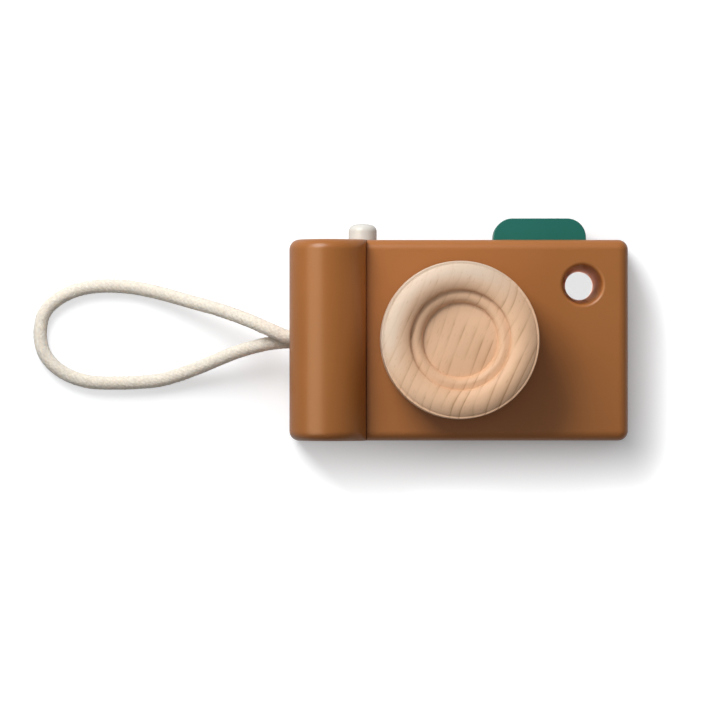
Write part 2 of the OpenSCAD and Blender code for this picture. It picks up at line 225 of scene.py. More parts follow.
def activate(piece):
    """Makes a piece the only selected object."""
    deselect_all()
    piece.select_set(True)
    bpy.context.view_layer.objects.active = piece


def name_piece(name):
    """Names the object that was just added and puts its place into its mesh."""
    piece = bpy.context.object
    piece.name = name
    piece.data.name = name
    bpy.ops.object.transform_apply(location=True, rotation=True, scale=True)
    return piece


def add_box(name, low, high):
    """A box between two corners."""
    deselect_all()
    low, high = Vector(low), Vector(high)
    bpy.ops.mesh.primitive_cube_add(size=1, location=(low + high) / 2, scale=high - low)
    return name_piece(name)


def pick_edges(piece, wanted):
    """Selects the edges, in edit mode, whose two ends pass the test."""
    bpy.ops.mesh.select_mode(type="EDGE")
    bpy.ops.mesh.select_all(action="DESELECT")
    mesh = bmesh.from_edit_mesh(piece.data)
    for edge in mesh.edges:
        edge.select_set(wanted(edge.verts[0].co, edge.verts[1].co))
    bmesh.update_edit_mesh(piece.data)


def round_edges(piece, radius, segments, wanted):
    """Rounds the edges whose two ends pass the test."""
    activate(piece)
    bpy.ops.object.mode_set(mode="EDIT")
    pick_edges(piece, wanted)
    bpy.ops.mesh.bevel(offset=radius, offset_type="OFFSET", segments=segments, profile=0.5, affect="EDGES")
    bpy.ops.object.mode_set(mode="OBJECT")


def arc(centre, radius, start, end, steps):
    """Points of an arc in a section, from one angle to another in degrees."""
    angles = [math.radians(start + (end - start) * i / steps) for i in range(steps + 1)]
    return [(centre[0] + radius * math.cos(a), centre[1] + radius * math.sin(a)) for a in angles]


def turn(name, section, steps=128):
    """A turned solid: a half section of (radius, height) points, from axis to axis, spun round Z."""
    deselect_all()
    bpy.ops.mesh.primitive_circle_add(vertices=len(section), radius=1)
    piece = bpy.context.object
    for vertex, (radius, height) in zip(piece.data.vertices, section):
        vertex.co = (radius, 0, height)
    bpy.ops.object.mode_set(mode="EDIT")
    pick_edges(piece, lambda a, b: a.x == 0 and b.x == 0)
    bpy.ops.mesh.delete(type="EDGE")
    bpy.ops.mesh.select_all(action="SELECT")
    bpy.ops.mesh.spin(steps=steps, angle=math.tau, center=(0, 0, 0), axis=(0, 0, 1))
    bpy.ops.mesh.select_all(action="SELECT")
    bpy.ops.mesh.remove_doubles(threshold=0.001 * MM)
    bpy.ops.mesh.normals_make_consistent(inside=False)
    bpy.ops.object.mode_set(mode="OBJECT")
    return name_piece(name)


def place(piece, location, rotation=(0, 0, 0)):
    """Turns a piece and moves it to its place, which then is in its mesh."""
    activate(piece)
    piece.location = location
    piece.rotation_euler = rotation
    bpy.ops.object.transform_apply(location=True, rotation=True, scale=True)
    return piece


def drill(radius, depth, ease=0):
    """A drilling tool along -Z with its mouth at the origin, which eases the rim of its hole."""
    section = [(0, -depth), (radius, -depth)]
    if ease:
        section += arc((radius + ease, -ease), ease, 180, 92, 6)
    else:
        section.append((radius, OVERRUN))
    section += [(section[-1][0], OVERRUN), (0, OVERRUN)]
    return turn("drill", section, 96)


def cut(piece, *tools):
    """Cuts the tools out of a piece and clears them away."""
    for tool in tools:
        modifier = piece.modifiers.new("Cut", "BOOLEAN")
        modifier.operation = "DIFFERENCE"
        modifier.solver = "EXACT"
        modifier.object = tool
        activate(piece)
        bpy.ops.object.modifier_apply(modifier=modifier.name)
        mesh = tool.data
        bpy.data.objects.remove(tool)
        bpy.data.meshes.remove(mesh)


def finish_piece(piece, material, slot, body, *nodes):
    """Smooths a piece, gives it its finish and lets it stand for its solids on their body."""
    activate(piece)
    bpy.ops.object.shade_smooth_by_angle(angle=math.radians(35))
    modifier = piece.modifiers.new("Even normals", "WEIGHTED_NORMAL")
    modifier.keep_sharp = True
    bpy.ops.object.modifier_apply(modifier=modifier.name)
    piece.data.materials.clear()
    piece.data.materials.append(material)
    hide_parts(*nodes)
    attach(piece, body)


def new_material(name):
    """An empty material with its shader, and that shader's tree."""
    material = bpy.data.materials.new(name)
    material.use_nodes = True
    tree = material.node_tree
    return material, tree, tree.nodes["Principled BSDF"]


def node(tree, kind, inputs=None, **settings):
    """Adds a node with its settings. An input is a value or the socket that feeds it."""
    made = tree.nodes.new(kind)
    for key, value in settings.items():
        setattr(made, key, value)
    for key, value in (inputs or {}).items():
        if isinstance(value, bpy.types.NodeSocket):
            tree.links.new(value, made.inputs[key])
        else:
            made.inputs[key].default_value = value
    return made


def shade(tint, factor):
    """A linear colour made lighter or darker, with its alpha."""
    return tuple(min(1, c * factor) for c in tint) + (1,)


def object_mm(tree, centre_mm=(0, 0, 0)):
    """The place on a piece in millimetres, counted from a centre."""
    return node(tree, "ShaderNodeMapping", {
        "Vector": node(tree, "ShaderNodeTexCoord").outputs["Object"],
        "Scale": (1 / MM, 1 / MM, 1 / MM),
        "Location": tuple(-c for c in centre_mm),
    }).outputs["Vector"]


def lacquer(name, tint, gloss=1.0):
    """Satin lacquer sprayed on sanded beech: even colour, soft gloss, a faint grain and a fine peel.

    A gloss below 1 dulls it.
    """
    material, tree, shader = new_material(name)
    place_mm = object_mm(tree)
    # Clouds about 25 mm wide, where the coats are a little thicker
    clouds = node(tree, "ShaderNodeTexNoise", {"Vector": place_mm, "Scale": 1 / 25, "Detail": 2.0})
    # Grain of the beech below, drawn out along the block, 12 mm long and 0.6 mm wide
    along = node(tree, "ShaderNodeMapping", {"Vector": place_mm, "Scale": (1 / 12, 1 / 0.6, 1 / 0.6)})
    grain = node(tree, "ShaderNodeTexNoise", {"Vector": along.outputs["Vector"], "Scale": 1.0, "Detail": 3.0})
    faint = node(tree, "ShaderNodeMath", {0: grain.outputs["Fac"], 1: 0.35}, operation="MULTIPLY")
    tone = node(tree, "ShaderNodeMix", {
        0: node(tree, "ShaderNodeMath", {
            0: clouds.outputs["Fac"], 1: faint.outputs[0],
        }, operation="ADD").outputs[0],
        6: shade(tint, 0.94),
        7: shade(tint, 1.05),
    }, data_type="RGBA")
    tree.links.new(tone.outputs[2], shader.inputs["Base Color"])
    dullness = node(tree, "ShaderNodeMapRange", {
        "Value": clouds.outputs["Fac"], "From Min": 0.3, "From Max": 0.7, "To Min": 0.33, "To Max": 0.4,
    })
    tree.links.new(dullness.outputs["Result"], shader.inputs["Roughness"])
    # The sprayed coat's peel, about 1.2 mm across
    peel = node(tree, "ShaderNodeTexNoise", {"Vector": place_mm, "Scale": 1 / 1.2, "Detail": 1.0})
    low = node(tree, "ShaderNodeBump", {
        "Height": grain.outputs["Fac"], "Strength": 0.05, "Distance": 0.1 * MM,
    })
    high = node(tree, "ShaderNodeBump", {
        "Height": peel.outputs["Fac"], "Strength": 0.06, "Distance": 0.1 * MM,
        "Normal": low.outputs["Normal"],
    })
    tree.links.new(high.outputs["Normal"], shader.inputs["Normal"])
    shader.inputs["Specular IOR Level"].default_value = 0.3 * gloss
    # The clear top coat shows windows as crisp streaks
    shader.inputs["Coat Weight"].default_value = 0.28 * gloss
    shader.inputs["Coat Roughness"].default_value = 0.22
    return material


def beech(name, layer_normal, grain_along, sheen_side, centre_mm):
    """Bare beech, turned or milled and sanded.

    It shows growth lines, short ray flecks and a dull fine grain, with a painted sheen on one side and painted
    shade on the other. The directions are those across the growth layers, along the grain and towards the painted
    sheen.
    """
    material, tree, shader = new_material(name)
    place_mm = object_mm(tree, centre_mm)
    across = Vector(layer_normal).normalized()
    along = Vector(grain_along).normalized()
    third = across.cross(along)
    # The board's own axes: across the growth layers, along the grain, and along the layers
    axis_mm = [
        node(tree, "ShaderNodeVectorMath", {0: place_mm, 1: axis}, operation="DOT_PRODUCT").outputs["Value"]
        for axis in (across, along, third)
    ]
    board = node(tree, "ShaderNodeCombineXYZ", dict(enumerate(axis_mm))).outputs["Vector"]
    # Growth layers that wander by a few millimetres over 30 mm
    layer_mm, wander_mm = 3.3, 4.0
    wave = node(tree, "ShaderNodeTexNoise", {
        "Vector": node(tree, "ShaderNodeMapping", {
            "Vector": board, "Scale": (1 / 9, 1 / 40, 1 / 30),
        }).outputs["Vector"], "Scale": 1.0, "Detail": 1.0,
    })
    # The layers lean one way at one end of the board and the other way at its far end
    spot = node(tree, "ShaderNodeSeparateXYZ", {0: place_mm})
    lean = node(tree, "ShaderNodeMath", {
        0: node(tree, "ShaderNodeMath", {
            0: spot.outputs["Y"], 1: spot.outputs["Z"],
        }, operation="MULTIPLY").outputs[0], 1: -0.02, 2: axis_mm[0],
    }, operation="MULTIPLY_ADD").outputs[0]
    depth = node(tree, "ShaderNodeMath", {
        0: wave.outputs["Fac"], 1: wander_mm, 2: lean,
    }, operation="MULTIPLY_ADD").outputs[0]
    count = node(tree, "ShaderNodeMath", {0: depth, 1: layer_mm}, operation="DIVIDE").outputs[0]
    ring = node(tree, "ShaderNodeMath", {0: count}, operation="FRACT").outputs[0]
    # Each layer's line has its own strength, and fades and comes back along its length
    year = node(tree, "ShaderNodeTexWhiteNoise", {
        "W": node(tree, "ShaderNodeMath", {0: count}, operation="FLOOR").outputs[0],
    }, noise_dimensions="1D").outputs["Value"]
    fading = node(tree, "ShaderNodeTexNoise", {"Vector": board, "Scale": 1 / 8, "Detail": 1.0})
    strength = node(tree, "ShaderNodeMath", {
        0: node(tree, "ShaderNodeMapRange", {"Value": year, "To Min": 0.4, "To Max": 1.0}).outputs["Result"],
        1: node(tree, "ShaderNodeMapRange", {
            "Value": fading.outputs["Fac"], "From Min": 0.34, "From Max": 0.58, "To Min": 0.15, "To Max": 1.0,
        }).outputs["Result"],
    }, operation="MULTIPLY").outputs[0]
    # Painted sheen, on the given side and more than 18 mm from the middle: paler and whiter, and with hardly a
    # line
    side = node(tree, "ShaderNodeVectorMath", {
        0: place_mm, 1: Vector(sheen_side).normalized(),
    }, operation="DOT_PRODUCT")
    radius = node(tree, "ShaderNodeVectorMath", {0: place_mm}, operation="LENGTH")
    painted_sheen_mask = node(tree, "ShaderNodeMath", {
        0: node(tree, "ShaderNodeMapRange", {
            "Value": side.outputs["Value"], "From Min": -5, "From Max": 18,
        }, interpolation_type="SMOOTHSTEP").outputs["Result"],
        1: node(tree, "ShaderNodeMapRange", {
            "Value": radius.outputs["Value"], "From Min": 18, "From Max": 23,
        }).outputs["Result"],
    }, operation="MULTIPLY").outputs[0]
    # Lines are a little plainer towards the near end of the board, and fainter near its middle
    plainest = node(tree, "ShaderNodeMapRange", {
        "Value": axis_mm[1], "From Min": -20, "From Max": 15, "To Min": 0.85, "To Max": 0.75,
    }).outputs["Result"]
    inner = node(tree, "ShaderNodeMapRange", {
        "Value": radius.outputs["Value"], "From Min": 10, "From Max": 16, "To Min": 0.7, "To Max": plainest,
    }).outputs["Result"]
    # Where the sheen is painted, the lines fade to a fifth
    plain = node(tree, "ShaderNodeMapRange", {"Value": painted_sheen_mask, "To Min": inner, "To Max": 0.2}).outputs["Result"]
    # A layer is pale at first and darkens towards its outer side, where its line is
    line = node(tree, "ShaderNodeValToRGB", {"Fac": ring})
    ramp = line.color_ramp.elements
    ramp[0].position, ramp[0].color = 0.0, (0.15, 0.15, 0.15, 1)
    ramp[1].position, ramp[1].color = 1.0, (0.2, 0.2, 0.2, 1)
    for position, level in ((0.1, 0.0), (0.55, 0.1), (0.82, 0.4), (0.92, 1.0), (0.97, 0.6)):
        stop = ramp.new(position)
        stop.color = (level, level, level, 1)
    # Ray flecks, 2.4 mm long along the grain and 0.4 mm wide
    fleck = node(tree, "ShaderNodeTexNoise", {
        "Vector": node(tree, "ShaderNodeMapping", {
            "Vector": board, "Scale": (1 / 0.4, 1 / 2.4, 1 / 0.4),
        }).outputs["Vector"], "Scale": 1.0, "Detail": 2.0,
    })
    fleck_mark = node(tree, "ShaderNodeMapRange", {
        "Value": fleck.outputs["Fac"], "From Min": 0.6, "From Max": 0.78, "To Min": 0.0, "To Max": 0.3,
    }).outputs["Result"]
    # Slow change of tone over the board, 20 mm wide
    tone = node(tree, "ShaderNodeTexNoise", {"Vector": board, "Scale": 1 / 20, "Detail": 1.0})
    tone_mark = node(tree, "ShaderNodeMapRange", {
        "Value": tone.outputs["Fac"], "From Min": 0.3, "From Max": 0.7, "To Min": 0.0, "To Max": 0.13,
    }).outputs["Result"]
    # Painted shade: in the middle and away from the sheen side, the wood is a little darker
    painted_shade_mark = node(tree, "ShaderNodeMath", {
        0: node(tree, "ShaderNodeMapRange", {
            "Value": side.outputs["Value"], "From Min": 2, "From Max": -12, "To Min": 0.0, "To Max": 0.3,
        }).outputs["Result"],
        1: node(tree, "ShaderNodeMapRange", {
            "Value": radius.outputs["Value"], "From Min": 22, "From Max": 17,
        }).outputs["Result"],
    }, operation="MULTIPLY").outputs[0]
    drawn = node(tree, "ShaderNodeMath", {0: line.outputs["Color"], 1: strength}, operation="MULTIPLY")
    line_mark = node(tree, "ShaderNodeMath", {
        0: drawn.outputs[0], 1: plain,
    }, operation="MULTIPLY").outputs[0]
    dark = node(tree, "ShaderNodeMath", {
        0: node(tree, "ShaderNodeMath", {0: line_mark, 1: fleck_mark}, operation="ADD").outputs[0],
        1: node(tree, "ShaderNodeMath", {0: tone_mark, 1: painted_shade_mark}, operation="ADD").outputs[0],
    }, operation="ADD", use_clamp=True).outputs[0]
    # The wood's own colour, turned whiter where the sheen is painted
    wood = node(tree, "ShaderNodeMix", {
        0: painted_sheen_mask, 6: shade(colours().beech, 1), 7: shade(colours().painted_sheen_tint, 1),
    }, data_type="RGBA")
    mixed = node(tree, "ShaderNodeMix", {
        0: dark, 6: wood.outputs[2], 7: shade(colours().beech_line, 1),
    }, data_type="RGBA")
    tree.links.new(mixed.outputs[2], shader.inputs["Base Color"])
    rough = node(tree, "ShaderNodeMapRange", {
        "Value": fleck.outputs["Fac"], "From Min": 0.3, "From Max": 0.7, "To Min": 0.52, "To Max": 0.64,
    })
    tree.links.new(rough.outputs["Result"], shader.inputs["Roughness"])
    relief = node(tree, "ShaderNodeBump", {
        "Height": fleck.outputs["Fac"], "Strength": 0.12, "Distance": 0.1 * MM,
    })
    tree.links.new(relief.outputs["Normal"], shader.inputs["Normal"])
    shader.inputs["Specular IOR Level"].default_value = 0.5
    return material


def cotton_braid():
    """Undyed braided cotton: cream, quite matt, with fibres along the strands and a soft sheen."""
    material, tree, shader = new_material("braided_cotton")
    around = node(tree, "ShaderNodeTexCoord")
    fibre = node(tree, "ShaderNodeTexNoise", {
        "Vector": node(tree, "ShaderNodeMapping", {
            "Vector": around.outputs["Object"], "Scale": (1 / (0.35 * MM),) * 3,
        }).outputs["Vector"], "Scale": 1.0, "Detail": 3.0,
    })
    # Yarn that is uneven over a millimetre
    yarn = node(tree, "ShaderNodeTexNoise", {
        "Vector": around.outputs["Object"], "Scale": 1 / (1.1 * MM), "Detail": 2.0,
    })
    uneven = node(tree, "ShaderNodeMath", {
        0: fibre.outputs["Fac"], 1: yarn.outputs["Fac"],
    }, operation="MULTIPLY").outputs[0]
    light = node(tree, "ShaderNodeMapRange", {"Value": uneven, "From Min": 0.12, "From Max": 0.4})
    tone = node(tree, "ShaderNodeMix", {
        0: light.outputs["Result"],
        6: shade(colours().cotton, 0.82), 7: shade(colours().cotton, 1.06),
    }, data_type="RGBA")
    tree.links.new(tone.outputs[2], shader.inputs["Base Color"])
    relief = node(tree, "ShaderNodeBump", {"Height": uneven, "Strength": 0.7, "Distance": 0.3 * MM})
    tree.links.new(relief.outputs["Normal"], shader.inputs["Normal"])
    shader.inputs["Roughness"].default_value = 0.9
    shader.inputs["Specular IOR Level"].default_value = 0.2
    shader.inputs["Sheen Weight"].default_value = 0.25
    # Light goes a little way through the loose yarn, so its shaded side stays soft
    shader.inputs["Subsurface Weight"].default_value = 0.8
    shader.inputs["Subsurface Radius"].default_value = (1.0, 0.9, 0.8)
    shader.inputs["Subsurface Scale"].default_value = 2.5 * MM
    return material


def pressed_felt():
    """Pressed wool felt: matt, mottled over half a millimetre."""
    material, tree, shader = new_material("pressed_felt")
    wool = node(tree, "ShaderNodeTexNoise", {
        "Vector": node(tree, "ShaderNodeTexCoord").outputs["Object"], "Scale": 1 / (0.5 * MM), "Detail": 4.0,
    })
    tone = node(tree, "ShaderNodeMix", {
        0: wool.outputs["Fac"], 6: shade(colours().felt, 0.75), 7: shade(colours().felt, 1.2),
    }, data_type="RGBA")
    tree.links.new(tone.outputs[2], shader.inputs["Base Color"])
    relief = node(tree, "ShaderNodeBump", {
        "Height": wool.outputs["Fac"], "Strength": 0.6, "Distance": 0.2 * MM,
    })
    tree.links.new(relief.outputs["Normal"], shader.inputs["Normal"])
    shader.inputs["Roughness"].default_value = 0.95
    return material


def plated_steel(name):
    """Bright zinc plate on drawn steel: a metal with fine cloudy gloss."""
    material, tree, shader = new_material(name)
    cloud = node(tree, "ShaderNodeTexNoise", {
        "Vector": node(tree, "ShaderNodeTexCoord").outputs["Object"], "Scale": 1 / (1.5 * MM), "Detail": 3.0,
    })
    gloss = node(tree, "ShaderNodeMapRange", {
        "Value": cloud.outputs["Fac"], "From Min": 0.3, "From Max": 0.7, "To Min": 0.22, "To Max": 0.4,
    })
    tree.links.new(gloss.outputs["Result"], shader.inputs["Roughness"])
    shader.inputs["Base Color"].default_value = shade(colours().steel, 1)
    shader.inputs["Metallic"].default_value = 1.0
    return material


def white_table():
    """Matt white table. Rays that show it also see light of its own, which lifts it to white."""
    material, tree, shader = new_material("white_table")
    place_m = node(tree, "ShaderNodeTexCoord").outputs["Object"]
    rays = node(tree, "ShaderNodeLightPath")
    mirrored = node(tree, "ShaderNodeMath", {
        0: rays.outputs["Is Glossy Ray"], 1: MIRRORED,
    }, operation="MULTIPLY").outputs[0]
    seen = node(tree, "ShaderNodeMath", {
        0: node(tree, "ShaderNodeMath", {
            0: rays.outputs["Is Camera Ray"], 1: mirrored,
        }, operation="MAXIMUM").outputs[0],
        1: rays.outputs["Is Transmission Ray"],
    }, operation="MAXIMUM").outputs[0]
    # The tone makes up for the window's light, of which less arrives on the far side of the toy
    away = node(tree, "ShaderNodeVectorMath", {0: place_m, 1: FROM_WINDOW}, operation="DOT_PRODUCT")
    tone = node(tree, "ShaderNodeMapRange", {
        "Value": away.outputs["Value"], "From Min": FADE_START, "From Max": FADE_END,
        "To Min": LIT_TONE, "To Max": 1.0,
    })
    # A white card below the finder shows through it and lights its wall
    finder = node(tree, "ShaderNodeVectorMath", {0: place_m, 1: CARD_PLACE}, operation="DISTANCE")
    card = node(tree, "ShaderNodeMath", {
        0: finder.outputs["Value"], 1: CARD_RADIUS,
    }, operation="LESS_THAN").outputs[0]
    paint = node(tree, "ShaderNodeMix", {
        0: seen, 6: TABLE_GREY,
        7: node(tree, "ShaderNodeVectorMath", {
            0: TABLE_WHITE, "Scale": tone.outputs["Result"],
        }, operation="SCALE").outputs["Vector"],
    }, data_type="RGBA")
    dim = node(tree, "ShaderNodeMapRange", {"Value": card, "To Min": 1.0, "To Max": 0.0})
    base = node(tree, "ShaderNodeVectorMath", {
        0: paint.outputs[2], "Scale": dim.outputs["Result"],
    }, operation="SCALE")
    tree.links.new(base.outputs["Vector"], shader.inputs["Base Color"])
    # How far a point lies past the toy's shaded sides, right and below
    turned = node(tree, "ShaderNodeVectorMath", {0: place_m, 1: (1, -1, 0)}, operation="MULTIPLY")
    past = node(tree, "ShaderNodeVectorMath", {
        0: node(tree, "ShaderNodeVectorMath", {
            0: turned.outputs["Vector"], 1: (BLOCK_HIGH.x, -BLOCK_LOW.y, 0),
        }, operation="SUBTRACT").outputs["Vector"],
        1: (0, 0, 0),
    }, operation="MAXIMUM").outputs["Vector"]
    reach = node(tree, "ShaderNodeVectorMath", {0: past}, operation="LENGTH")
    near = node(tree, "ShaderNodeMapRange", {
        "Value": away.outputs["Value"], "From Min": FADE_START, "From Max": FADE_END,
        "To Min": LIT_LIFT, "To Max": SHADE_LIFT,
    }).outputs["Result"]
    fade = node(tree, "ShaderNodeMapRange", {
        "Value": reach.outputs["Value"], "From Min": 0, "From Max": SHADE_REACH,
        "To Min": near, "To Max": FAR_LIFT,
    }).outputs["Result"]
    glow = node(tree, "ShaderNodeMath", {0: seen, 1: fade}, operation="MULTIPLY").outputs[0]
    card_level = node(tree, "ShaderNodeMath", {
        0: rays.outputs["Is Diffuse Ray"], 1: CARD_LIGHT,
        2: node(tree, "ShaderNodeMath", {
            0: rays.outputs["Is Camera Ray"], 1: CARD_LIFT,
        }, operation="MULTIPLY").outputs[0],
    }, operation="MULTIPLY_ADD").outputs[0]
    lift = node(tree, "ShaderNodeMix", {0: card, 2: glow, 3: card_level}, data_type="FLOAT")
    tree.links.new(lift.outputs[0], shader.inputs["Emission Strength"])
    shader.inputs["Emission Color"].default_value = (1, 1, 1, 1)
    shader.inputs["Roughness"].default_value = 1.0
    shader.inputs["Specular IOR Level"].default_value = 0.0
    return material


def add_lamp(name, location, target, breadth, power):
    """A soft lamp of a width and length that faces a point."""
    data = bpy.data.lights.new(name, "AREA")
    data.shape = "RECTANGLE"
    data.size, data.size_y = breadth
    data.energy = power
    lamp = bpy.data.objects.new(name, data)
    bpy.context.scene.collection.objects.link(lamp)
    lamp.location = location
    lamp.rotation_euler = (Vector(target) - Vector(location)).to_track_quat("-Z", "Y").to_euler()
    return lamp


class TOYCAM_OT_stage(Operator):
    """Set the camera, the soft light and the white table"""

    bl_idname = "toycam.stage"
    bl_label = "Stage"

    def execute(self, context):
        scene = context.scene
        data = bpy.data.cameras.new("view")
        data.lens = VIEW_LENS_MM
        data.sensor_width = SENSOR_MM
        data.sensor_fit = "HORIZONTAL"
        data.clip_end = 20
        camera = bpy.data.objects.new("view", data)
        scene.collection.objects.link(camera)
        camera.location = Vector(VIEW_POINT_MM) * MM
        scene.camera = camera
        scene.view_settings.view_transform = "Standard"
        add_lamp("window", *WINDOW)
        # A long pale screen, which only shows as a streak in glossy finishes
        screen = add_lamp("screen", *SCREEN)
        screen.data.color = SCREEN_TINT
        screen.visible_diffuse = False
        world = bpy.data.worlds.new("room")
        scene.world = world
        world.use_nodes = True
        tree = world.node_tree
        rays = node(tree, "ShaderNodeLightPath")
        seen = node(tree, "ShaderNodeMath", {
            0: rays.outputs["Is Camera Ray"], 1: rays.outputs["Is Transmission Ray"],
        }, operation="MAXIMUM").outputs[0]
        # The room is lighter on the window's side
        side = node(tree, "ShaderNodeVectorMath", {
            0: node(tree, "ShaderNodeTexCoord").outputs["Generated"], 1: TO_WINDOW,
        }, operation="DOT_PRODUCT")
        room = node(tree, "ShaderNodeMapRange", {
            "Value": side.outputs["Value"], "From Min": -1, "To Min": ROOM_DARK, "To Max": ROOM_LIGHT,
        })
        level = node(tree, "ShaderNodeMapRange", {
            "Value": seen, "To Min": room.outputs["Result"], "To Max": 1.0,
        })
        tree.links.new(level.outputs["Result"], tree.nodes["Background"].inputs["Strength"])
        tree.nodes["Background"].inputs["Color"].default_value = (1, 1, 1, 1)
        deselect_all()
        bpy.ops.mesh.primitive_plane_add(size=6, location=(0, 0, TABLE_Z))
        table = name_piece("table")
        table.data.materials.append(white_table())
        return {"FINISHED"}


def smooth_path(points, step):
    """A smooth line through points, with new points about a step apart (Catmull-Rom)."""
    ends = [points[0] * 2 - points[1], *points, points[-1] * 2 - points[-2]]
    path = []
    for a, b, c, d in zip(ends, ends[1:], ends[2:], ends[3:]):
        count = max(2, round((c - b).length / step))
        for i in range(count):
            t = i / count
            path.append(
                b + (c - a) * (t / 2)
                + (a * 2 - b * 5 + c * 4 - d) * (t * t / 2)
                + (b * 3 - a - c * 3 + d) * (t * t * t / 2)
            )
    return path + [points[-1]]


def braid_height(one, other):
    """How far the braid stands out, from 0 to 1, where strand number one crosses strand number other."""
    first, second = math.floor(one), math.floor(other)
    a, b = one - first - 0.5, other - second - 0.5
    if (first + second) % 2:
        a, b = b, a
    # No two crossings of soft yarn stand equally high
    loose = math.sin(first * 12.99 + second * 78.23) * 437.58
    full = 0.6 + 0.4 * (loose - math.floor(loose))
    return full * math.cos(math.pi * a) ** 0.6 * (0.55 + 0.45 * math.cos(math.pi * b))


class TOYCAM_OT_cord(Operator):
    """Braid the looped wrist cord"""

    bl_idname = "toycam.cord"
    bl_label = "Wrist Cord"

    def execute(self, context):
        thickness = sizes().cord_thickness
        strands = sizes().cord_strands
        relief = 0.3 * MM
        # Six faces to a strand's width, about square, and strands that run a little more along than round
        sides = 6 * strands
        pitch = math.pi * thickness * 1.1
        route = [Vector(p) * MM for p in CORD_ROUTE_MM]
        path = smooth_path(route, pitch / strands / 6.5)
        run = 0.0
        verts = []
        for i, point in enumerate(path):
            heading = (path[min(i + 1, len(path) - 1)] - path[max(i - 1, 0)]).normalized()
            across = Vector((0, 0, 1)).cross(heading).normalized()
            over = heading.cross(across)
            if i:
                run += (point - path[i - 1]).length
            for k in range(sides):
                turned = k / sides
                twist = run / pitch
                rise = braid_height(strands * (turned + twist), strands * (turned - twist))
                radius = thickness / 2 - relief * (1 - rise)
                angle = math.tau * turned
                verts.append(point + (across * math.cos(angle) + over * math.sin(angle)) * radius)
        faces = []
        for low in range(0, (len(path) - 1) * sides, sides):
            high = low + sides
            for k in range(sides):
                after = (k + 1) % sides
                faces.append((low + k, low + after, high + after, high + k))
        last = (len(path) - 1) * sides
        faces += [tuple(reversed(range(sides))), tuple(range(last, last + sides))]
        mesh = bpy.data.meshes.new("wrist_cord_braid")
        mesh.from_pydata(verts, [], faces)
        mesh.update()
        cord = bpy.data.objects.new("wrist_cord_braid", mesh)
        context.scene.collection.objects.link(cord)
        mesh.polygons.foreach_set("use_smooth", [True] * len(mesh.polygons))
        mesh.materials.append(cotton_braid())
        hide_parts("wrist_cord")
        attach(cord, BODY)
        return {"FINISHED"}


class TOYCAM_OT_block(Operator):
    """Round and drill the painted block, and close the well in its back"""

    bl_idname = "toycam.block"
    bl_label = "Body Block"

    def execute(self, context):
        s = sizes()
        block = add_box("camera_block", BLOCK_LOW, BLOCK_HIGH)
        round_edges(block, s.edge_round, EDGE_STEPS, lambda a, b: True)
        front, back, top, left = BLOCK_HIGH.z, BLOCK_LOW.z, BLOCK_HIGH.y, BLOCK_LOW.x
        paint = lacquer("caramel_lacquer", colours().caramel)
        # The rebate for the grip follows the round corners of the grip's foot
        seat = GRIP_LOW.z
        corner = s.grip_corner
        inner = GRIP_HIGH.x + s.glue_line
        rebate = add_box(
            "rebate", (left - OVERRUN, GRIP_LOW.y - OVERRUN, seat),
            (inner - corner, GRIP_HIGH.y + OVERRUN, front + OVERRUN)
        )
        foot = add_box("foot", (left - OVERRUN, GRIP_LOW.y, seat), (inner, GRIP_HIGH.y, front + OVERRUN))
        round_edges(
            foot, corner, EDGE_STEPS,
            lambda a, b: min(a.x, b.x) > inner - OVERRUN and abs(a.z - b.z) > OVERRUN
        )
        cut(block, rebate, foot)
        # The finder: straight at the back, then flared to a rounded lip at the front
        radius = FINDER["dims"]["r_mm"] * MM
        straight = FINDER["dims"]["length_mm"] * MM
        lip = s.finder_lip
        section = [(0, back - OVERRUN), (radius, back - OVERRUN), (radius, straight)]
        section += arc((s.finder_front + lip, front - lip), lip, 180, 92, 8)
        section += [(section[-1][0], front + OVERRUN), (0, front + OVERRUN)]
        finder = place(turn("finder", section), (FINDER["pos_m"][0], FINDER["pos_m"][1], 0))
        # The well, the axle's bore, the button's bore, the keeper pin's hole and the cord's hole
        behind = (math.pi, 0, 0)
        well = place(drill(s.well_radius, s.well_depth, s.rim_ease), (0, 0, back), behind)
        axle_radius = AXLE_HIGH.x + s.run_gap
        bore = place(drill(axle_radius, front - back - s.well_depth / 2), (0, 0, front))
        button_mid = (BUTTON_LOW + BUTTON_HIGH) / 2
        button_radius = (BUTTON_HIGH.x - BUTTON_LOW.x) / 2 + s.run_gap
        shaft = place(
            drill(button_radius, top - SPRING_LOW.y, s.rim_ease), (button_mid.x, top, button_mid.z),
            (-math.pi / 2, 0, 0)
        )
        pin_mid = (PIN_LOW + PIN_HIGH) / 2
        pin_radius = (PIN_HIGH.x - PIN_LOW.x) / 2 + s.run_gap
        pin = place(drill(pin_radius, PIN_HIGH.z), (pin_mid.x, pin_mid.y, back), behind)
        ends = [Vector(CORD_ROUTE_MM[i]) * MM for i in (0, -1)]
        hole_mid = (ends[0] + ends[1]) / 2
        hole = place(
            drill(s.cord_hole, hole_mid.x - left, 2 * s.rim_ease), (left, hole_mid.y, hole_mid.z),
            (0, -math.pi / 2, 0)
        )
        cut(block, finder, well, bore, shaft, pin, hole)
        finish_piece(block, paint, "caramel_lacquer", BODY, "body_block")
        # The plug, with an eased edge that leaves a fine line round it
        plug_radius = PLUG_HIGH.x
        ease = s.rim_ease
        section = [(0, PLUG_LOW.z)]
        section += arc((plug_radius - ease, PLUG_LOW.z + ease), ease, -90, 0, 6)
        section += [(plug_radius, PLUG_HIGH.z), (0, PLUG_HIGH.z)]
        plug = turn("well_plug", section)
        finish_piece(plug, paint, "caramel_lacquer", BODY, "rear_plug")
        return {"FINISHED"}


